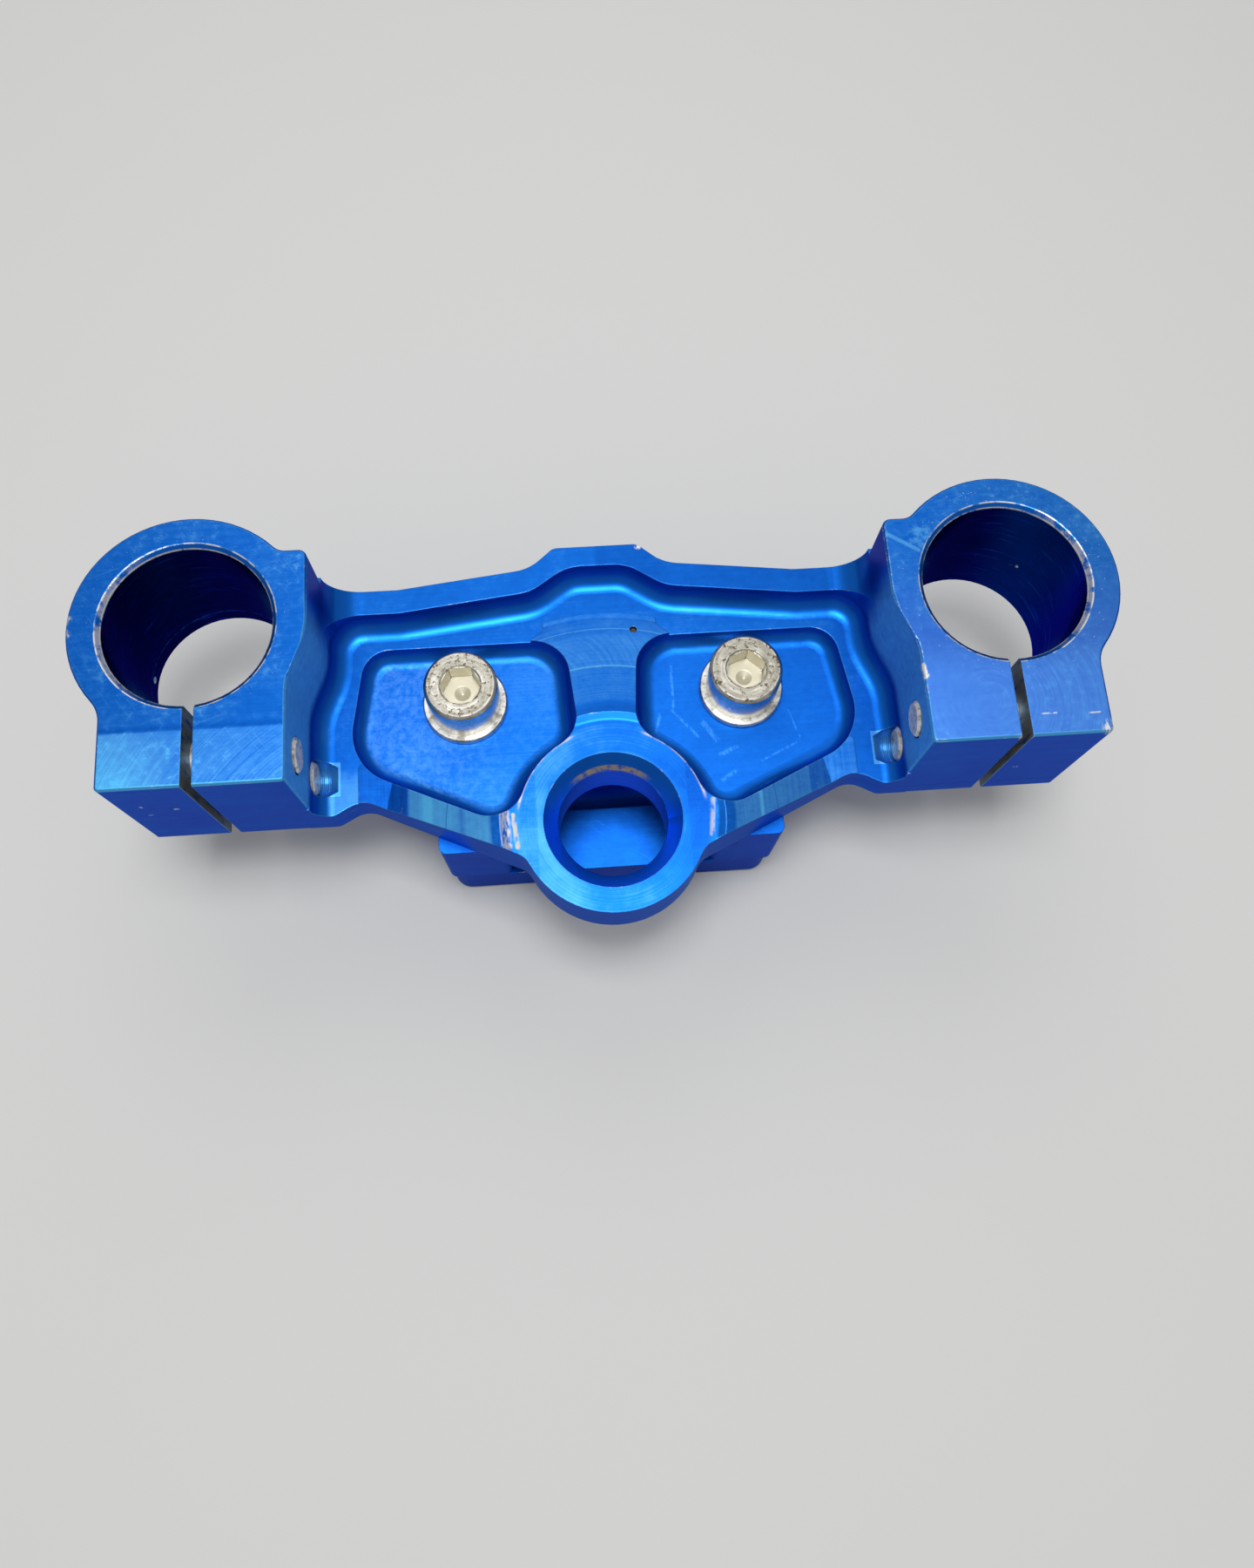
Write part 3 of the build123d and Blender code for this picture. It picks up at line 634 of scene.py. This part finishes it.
def yoke_wear(s, on, marks, sharp):
    """Places worn or knocked through to the metal."""
    mouth = s.z.rise(CLAMP_TOP - 1.4, CLAMP_TOP - 1.2)
    rings = on.fork.line(TUBE_RADIUS + 0.05, 0.25) * marks.breakup.rise(0.34, 0.50)
    rings = rings + on.fork.line(TUBE_RADIUS + 1.1, 0.28) * marks.breakup.rise(0.42, 0.55)
    outer = on.side.rise(FORK_X + 9.0, FORK_X + 19.0) * marks.breakup.rise(0.35, 0.55)
    rings = rings + outer * on.fork.band(TUBE_RADIUS, TUBE_RADIUS + 1.2, 0.2) * 0.6

    chips = marks.breakup.rise(0.58, 0.66) * marks.crumbs.rise(0.4, 0.5)
    inner_edge = s.x.band(WALL_INNER + 1.5, WALL_OUTER + 0.5, 0.5) * s.y.band(18.0, 64.0, 2.0) * mouth
    chips = sharp * (chips + inner_edge * marks.crumbs.rise(0.50, 0.58))
    specks = marks.speck.rise(0.67, 0.71) * marks.breakup.rise(0.46, 0.54) * on.top
    specks = specks * on.fork.band(TUBE_RADIUS + 1.0, TUBE_RADIUS + 4.5, 2.5)

    dashed = total(s.stroke(*dash) for dash in DASHES) * marks.crumbs.rise(0.34, 0.50)
    dashed = dashed * s.z.rise(CLAMP_TOP - 1.2, CLAMP_TOP - 0.9)
    knocked = total(s.spot(*knock) for knock in KNOCKS) * marks.torn.rise(0.42, 0.54)
    worn = rings * mouth + chips * 0.8 + specks * (on.left * -0.4 + 0.6) + dashed * 0.75 + knocked
    return worn.held()


def yoke_gouges(s, on, marks):
    """Gouges in the flange on each side of the boss."""
    gouges = total(s.stroke(*gouge) for gouge in GOUGES) + s.stroke(*FAINT_GOUGE) * 0.5
    gouges = gouges * marks.torn.rise(0.36, 0.56) * on.up
    return (gouges * s.z.rise(GROOVE_FLOOR + 0.2, GROOVE_FLOOR + 0.4)).held()


def yoke_colour(s, on, marks, tone, worn, gouged):
    """The blue by its lightness, under haze, bare metal, dirt and the metal of the sawn split."""
    colour = s.ramp(tone, ANODISED)
    colour = s.mix(on.top * on.right * s.y.fall(26.0, 60.0) * 0.55, colour, HAZE_BLUE)
    hazed = on.floor * s.x.fall(-50.0, -28.0) * marks.mottle.rise(0.35, 0.65) * 0.3
    colour = s.mix(hazed, colour, HAZE_BLUE)
    colour = s.mix(on.stem_bore * s.y.rise(2.0, 9.0) * 0.5, colour, WASHED_BLUE)
    colour = s.mix(worn, colour, BARE_METAL)

    pocket_edge = on.stem.line(BOSS_RADIUS + 0.1, 0.6) * s.y.rise(3.0, 7.0) * on.side.rise(8.0, 11.0)
    rubbed = pocket_edge * s.z.rise(12.0, 14.0) * marks.breakup.rise(0.34, 0.52) * 0.8
    colour = s.mix((gouged + rubbed).held(), colour, CREAM)
    residue = on.stem.band(STEM_RADIUS - 0.2, STEM_RADIUS + 0.9, 0.3) * s.y.rise(10.0, 13.0)
    residue = residue * marks.mottle.rise(0.35, 0.55) * s.z.rise(STEM_WALL - 1.5, STEM_WALL - 0.5)
    colour = s.mix(residue, colour, TAN)
    pit = s.away(PIT).fall(PIT_RADIUS, PIT_RADIUS + 0.2)
    pit = pit * s.z.rise(GROOVE_FLOOR - 1.0, GROOVE_FLOOR - 0.5)
    colour = s.mix(pit, colour, GRIME)
    return s.mix(on.split * marks.sawn.rise(0.25, 0.5), colour, SAWN_METAL)


def yoke_finish():
    """Blue anodising on the milled yoke, with its cutter marks, stains and worn places, and with
    painted highlights, reflection and shade.
    """
    s = anodised_surface("anodised_yoke")
    on = yoke_zones(s)
    marks = yoke_marks(s, on)
    eased = s.eased_normal(0.4)
    sharp = s.edge(eased)
    scuffs = yoke_scuffs(s, on, marks)
    worn = yoke_wear(s, on, marks, sharp)
    gouged = yoke_gouges(s, on, marks)
    tone = yoke_tone(s, on, marks, scuffs, sharp)
    colour = yoke_colour(s, on, marks, tone, worn, gouged)

    roughness = marks.mottle * 0.10 + 0.30 + (on.left_front + on.right_front) * 0.08
    roughness = roughness + on.floor * 0.10 + on.boss * 0.08 + on.chamfer * -0.10 + on.bore * -0.08
    roughness = roughness + on.wall * 0.1 + gouged * 0.25 + worn * 0.05
    metallic = on.wall * -0.4 + on.bore * (1.0 - METAL_SHARE) + METAL_SHARE
    relief = on.left_front * marks.left_arcs + on.right_front * marks.right_arcs
    relief = relief + (on.hub * 0.6 + on.boss * 0.15) * marks.turned + on.up * marks.milled * 0.4
    relief = relief + marks.mottle * on.up * 0.5 + scuffs * -0.4 + gouged * -2.0 + worn * -0.8
    return s.finish(colour, roughness, s.bump(relief, 0.010, eased), metallic)


def plain_anodised(name, seed, lightness=0.36):
    """Blue anodising on the plainer pieces."""
    s = anodised_surface(name)
    cloud = s.noise(0.07, detail=4.0, along=(s.x + seed, s.y, s.z))
    mottle = s.noise(0.5, detail=5.0, roughness=0.7)
    brushed = s.noise(1.0, detail=3.0, along=(s.x * 0.05, s.y * 1.6, s.z * 1.6))
    tone = cloud * 0.18 + lightness + (mottle - 0.5) * 0.18 + (brushed - 0.5) * 0.14
    tone = tone + s.hair(-35.0, seed) * 0.12
    eased = s.eased_normal(0.35)
    chips = s.edge(eased) * s.noise(0.35, detail=4.0, roughness=0.65).rise(0.60, 0.68)
    colour = s.mix(chips, s.ramp(tone.held(), ANODISED), BARE_METAL)
    return s.finish(colour, mottle * 0.10 + 0.30, s.bump(brushed * 0.5 + mottle * 0.5, 0.008, eased))


def aged_steel(name, bolt):
    """Plated steel gone dull and warm round a bolt's axis, with grime in its pits and in the socket, a
    painted highlight round the head's rim and a darker ring just inside it.
    """
    s = Surface(name, Metallic=1.0)
    low, high = [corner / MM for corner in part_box(bolt)]
    axis = distance(abs(s.x) - abs(low.x + high.x) / 2, s.y - (low.y + high.y) / 2)
    rim = (high.x - low.x) / 2
    face = s.z.rise(high.z - 0.6, high.z - 0.2)
    socket_foot = high.z - RISER_SOCKET_DEPTH
    socket = axis.fall(0.48 * rim, 0.6 * rim) * s.z.rise(socket_foot, socket_foot + 0.5)
    pits = s.noise(0.9, detail=5.0, roughness=0.72)
    cloud = s.noise(0.25, detail=3.0)
    ring = s.noise(1.0, detail=2.0, along=(axis * 1.5, s.x * 0.1, s.y * 0.1))
    tone = cloud * 0.5 + pits * 0.5 + (ring - 0.5) * face * 0.5
    colour = s.ramp(tone, [(0.32, DULL_STEEL), (0.50, WARM_STEEL), (0.68, CLEAN_STEEL)])
    colour = s.mix(socket * 0.9, colour, OILED_STEEL)
    # Painted highlight round the outer rim of the head.
    colour = s.mix(axis.line(0.92 * rim, 0.08 * rim) * face * 0.5, colour, CLEAN_STEEL)
    dirt = pits.rise(0.53, 0.60) * face * 0.85 + pits.rise(0.60, 0.70) * 0.3
    # A darker ring just inside the head's rim.
    dirt = dirt + axis.line(0.86 * rim, 0.12 * rim) * face * cloud.rise(0.4, 0.6) * 0.5
    dirt = dirt + socket * cloud.rise(0.5, 0.7) * 0.08
    colour = s.mix(dirt.held(), colour, GRIME)
    roughness = pits * 0.2 + face * 0.14 + socket * 0.2 + 0.12
    normal = s.bump(pits * (face * -0.8 - 0.2), 0.06, s.eased_normal(0.35))
    return s.finish(colour, roughness, normal, socket * -0.5 + 1.0)


def bright_steel(name, metallic):
    """Plated steel, a little dulled; the less metallic, the more it scatters light."""
    s = Surface(name, Metallic=metallic)
    cloud = s.noise(0.3, detail=4.0, roughness=0.65)
    stain = s.noise(0.9, detail=3.0)
    colour = s.ramp(cloud, [(0.3, DULL_STEEL), (0.5, BRIGHT_STEEL), (0.7, CLEAN_STEEL)])
    colour = s.mix(stain.rise(0.55, 0.7) * 0.6, colour, GRIME)
    roughness = cloud * 0.25 + (0.22 + 0.4 * (1.0 - metallic))
    return s.finish(colour, roughness, s.bump(cloud, 0.01, s.eased_normal(0.12)))


def pale_floor():
    """Plain matt floor with a faint grain."""
    s = Surface("pale_floor", Specular_IOR_Level=0.2)
    grain = s.noise(0.02, detail=3.0)
    colour = s.mix(grain * 0.06, PALE_FLOOR, FLOOR_SHADE)
    return s.finish(colour, grain * 0.1 + 0.7, s.bump(grain, 0.01, s.eased_normal(0.1)))


def new_piece(name, points, faces, material):
    """A mesh object from points in millimetres."""
    mesh = bpy.data.meshes.new(name)
    mesh.from_pydata([Vector(point) * MM for point in points], [], faces)
    mesh.validate()
    mesh.materials.append(material)
    piece = bpy.data.objects.new(name, mesh)
    bpy.context.scene.collection.objects.link(piece)
    return piece


def tube_faces(count, segments):
    """Quads between rings of points, closed by a face at each end."""
    faces = []
    for ring in range(count - 1):
        for i in range(segments):
            j = (i + 1) % segments
            low, high = ring * segments, (ring + 1) * segments
            faces.append((low + i, low + j, high + j, high + i))
    last = (count - 1) * segments
    faces.append(tuple(reversed(range(segments))))
    faces.append(tuple(range(last, last + segments)))
    return faces


def screw_rings(kind, radius, length, head_radius):
    """A socket head screw on Z, head above zero, as (level, radius at an angle) rings from its tip."""
    root = THREAD_DEPTH * kind.pitch
    threaded = THREADED_SHARE * length
    head = kind.head_height
    chamfer = HEAD_CHAMFER * head
    socket_floor = SOCKET_FLOOR * head
    drill = DRILL_RADIUS * kind.hex_size

    def round_at(value):
        return lambda angle: value

    def knurl(angle):
        ridge = round(angle / (2 * math.pi) * SEGMENTS) % 2
        return head_radius - KNURL_DEPTH * ridge

    def hexagon(angle):
        corner = math.radians(60)
        return kind.hex_size / 2 / math.cos((angle + corner / 2) % corner - corner / 2)

    def thread_at(level):
        limit = radius - TIP_CHAMFER + (level + length)

        def radius_at(angle):
            phase = (level / kind.pitch + angle / (2 * math.pi)) % 1.0
            slope = max(0.0, abs(2 * phase - 1) - THREAD_CREST) / (1 - THREAD_CREST)
            return min(limit, radius - root * slope)

        return radius_at

    rings = [(-length, round_at(radius - root - TIP_STEP))]
    count = int(threaded / kind.pitch * RINGS_PER_TURN)
    for step in range(count + 1):
        level = -length + threaded * step / count
        rings.append((level, thread_at(level)))
    rings += [
        (-length + threaded + THREAD_RUNOUT, round_at(radius)),
        (0.0, round_at(radius)),
        (0.0, round_at(head_radius - FOOT_WIDTH)),
        (FOOT_HEIGHT, knurl),
        (KNURL_TOP * head, knurl),
        (BAND_BOTTOM * head, round_at(head_radius)),
        (head - chamfer, round_at(head_radius)),
        (head, round_at(head_radius - chamfer)),
        (head, round_at(kind.hex_size / math.sqrt(3) + SOCKET_LEAD)),
        (head - SOCKET_LEAD, hexagon),
        (socket_floor, hexagon),
        (socket_floor, round_at(drill)),
        (socket_floor - DRILL_DEPTH * drill, round_at(DRILL_TIP * drill)),
    ]
    return rings


def dress_screw(node, kind, axis, material):
    """A knurled, threaded screw in place of a plain one; the axis points from its tip to its head."""
    low, high = [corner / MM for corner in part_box(node)]
    size = high - low
    along = max(range(3), key=lambda i: abs(axis[i]))
    head_radius = min(size) / 2
    seat = (low + high) / 2
    seat[along] = (high[along] if axis[along] > 0 else low[along]) - kind.head_height * axis[along]
    radius = head_radius * (kind.shank / kind.head_width)
    rings = screw_rings(kind, radius, size[along] - kind.head_height, head_radius)
    turn = Vector((0, 0, 1)).rotation_difference(Vector(axis)).to_matrix().to_4x4()
    place = Matrix.Translation(seat) @ turn
    points = []
    for level, radius_at in rings:
        for i in range(SEGMENTS):
            angle = 2 * math.pi * i / SEGMENTS
            reach = radius_at(angle)
            points.append(place @ Vector((reach * math.cos(angle), reach * math.sin(angle), level)))
    piece = new_piece(f"{node}_threaded", points, tube_faces(len(rings), SEGMENTS), material)
    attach(piece, "root")
    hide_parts(node)


def ridge_ring(tube_x, middle, step):
    """The points round one section of a ridge, which is thin at both ends."""
    swing = math.radians(RIDGE_START + RIDGE_SWEEP * step / RIDGE_STEPS)
    from_end = min(step, RIDGE_STEPS - step)
    thick = RIDGE * min(1.0, 4 * from_end / RIDGE_STEPS + RIDGE_THIN)
    ring = []
    for corner in range(RIDGE_SECTION):
        turned = 2 * math.pi * corner / RIDGE_SECTION
        reach = TAP_RADIUS + thick * math.cos(turned)
        y = middle.y + reach * math.cos(swing)
        z = middle.z + reach * math.sin(swing)
        ring.append((tube_x + thick * math.sin(turned), y, z))
    return ring


def tap_ridges(node, side, material):
    """The last turns of the tapped hole, open to view in the groove beside a lower pinch bolt."""
    low, high = [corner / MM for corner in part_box(node)]
    tip = high.x if side < 0 else low.x
    middle = (low + high) / 2
    points, faces = [], []
    for turn in range(RIDGE_TURNS):
        start = len(points)
        tube_x = tip - side * (RIDGE_SETBACK + turn * PINCH_BOLT.pitch)
        for step in range(RIDGE_STEPS + 1):
            points += ridge_ring(tube_x, middle, step)
        faces += [tuple(start + i for i in face) for face in tube_faces(RIDGE_STEPS + 1, RIDGE_SECTION)]
    piece = new_piece(node.replace("pinch_bolt", "tap_ridges"), points, faces, material)
    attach(piece, "root")


def dress():
    """Gives every piece its finish, and the small screws their threads."""
    finishes = {
        "clamp_body": yoke_finish(),
        "bar_clamp_cap": plain_anodised("anodised_cap", seed=40.0, lightness=0.31),
        "left_bar_riser": plain_anodised("anodised_left_riser", seed=90.0),
        "right_bar_riser": plain_anodised("anodised_right_riser", seed=140.0),
    }
    worn_steel = aged_steel("aged_steel", "left_riser_bolt")
    plated_steel = bright_steel("plated_steel", metallic=1.0)
    dulled_steel = bright_steel("dulled_steel", metallic=0.6)
    ridge_metal = plain_anodised("tap_ridge_finish", seed=0.0, lightness=0.75)
    for side, sign in (("left", -1), ("right", 1)):
        finishes[f"{side}_riser_bolt"] = worn_steel
        for level in ("upper", "lower"):
            dress_screw(f"{side}_{level}_pinch_bolt", PINCH_BOLT, (sign, 0, 0), dulled_steel)
        for row in ("front", "rear"):
            dress_screw(f"{side}_{row}_cap_screw", CAP_SCREW, (0, 0, -1), plated_steel)
        tap_ridges(f"{side}_lower_pinch_bolt", sign, ridge_metal)
    for name, node in frame["nodes"].items():
        node.data.materials.clear()
        node.data.materials.append(finishes.get(name, plated_steel))


def add_floor():
    """The floor that the object stands on."""
    plan = [(-1, -1), (1, -1), (1, 1), (-1, 1)]
    corners = [(x * FLOOR_REACH, y * FLOOR_REACH, GROUND) for x, y in plan]
    new_piece("floor", corners, [(0, 1, 2, 3)], pale_floor())


def add_lamp(name, place, size, power):
    """A square soft light that points at the object, with its place and size in millimetres."""
    lamp = bpy.data.lights.new(name, "AREA")
    lamp.size = size * MM
    lamp.energy = power
    holder = bpy.data.objects.new(name, lamp)
    holder.location = Vector(place) * MM
    holder.rotation_euler = (Vector(LIT_POINT) - Vector(place)).to_track_quat("-Z", "Y").to_euler()
    bpy.context.scene.collection.objects.link(holder)


def add_light():
    """Two soft lamps in a pale, even surround."""
    add_lamp("overhead", (-20.0, -30.0, 1000.0), size=340.0, power=6.8)
    add_lamp("back_card", (0.0, 850.0, 800.0), size=900.0, power=2.2)
    world = bpy.data.worlds.new("studio")
    world.use_nodes = True
    background = world.node_tree.nodes["Background"]
    background.inputs["Color"].default_value = WHITE
    background.inputs["Strength"].default_value = SURROUND_LEVEL
    bpy.context.scene.world = world


def add_camera():
    """The camera at the photograph's place, with its lens and framing."""
    camera = bpy.data.cameras.new("camera")
    camera.sensor_width = SENSOR
    camera.lens = SENSOR * FOCAL_LENGTH / FRAME_HEIGHT
    camera.shift_y = AXIS_BELOW_MIDDLE / FRAME_HEIGHT
    camera.clip_start = NEAREST
    camera.clip_end = FARTHEST
    holder = bpy.data.objects.new("camera", camera)
    right, up = EYE_RIGHT.normalized(), EYE_UP.normalized()
    back = right.cross(up).normalized()
    holder.matrix_world = Matrix.Translation(EYE * MM) @ Matrix((right, up, back)).transposed().to_4x4()
    bpy.context.scene.collection.objects.link(holder)
    bpy.context.scene.camera = holder


dress()
add_floor()
add_light()
add_camera()
bpy.context.scene.view_settings.view_transform = "Standard"
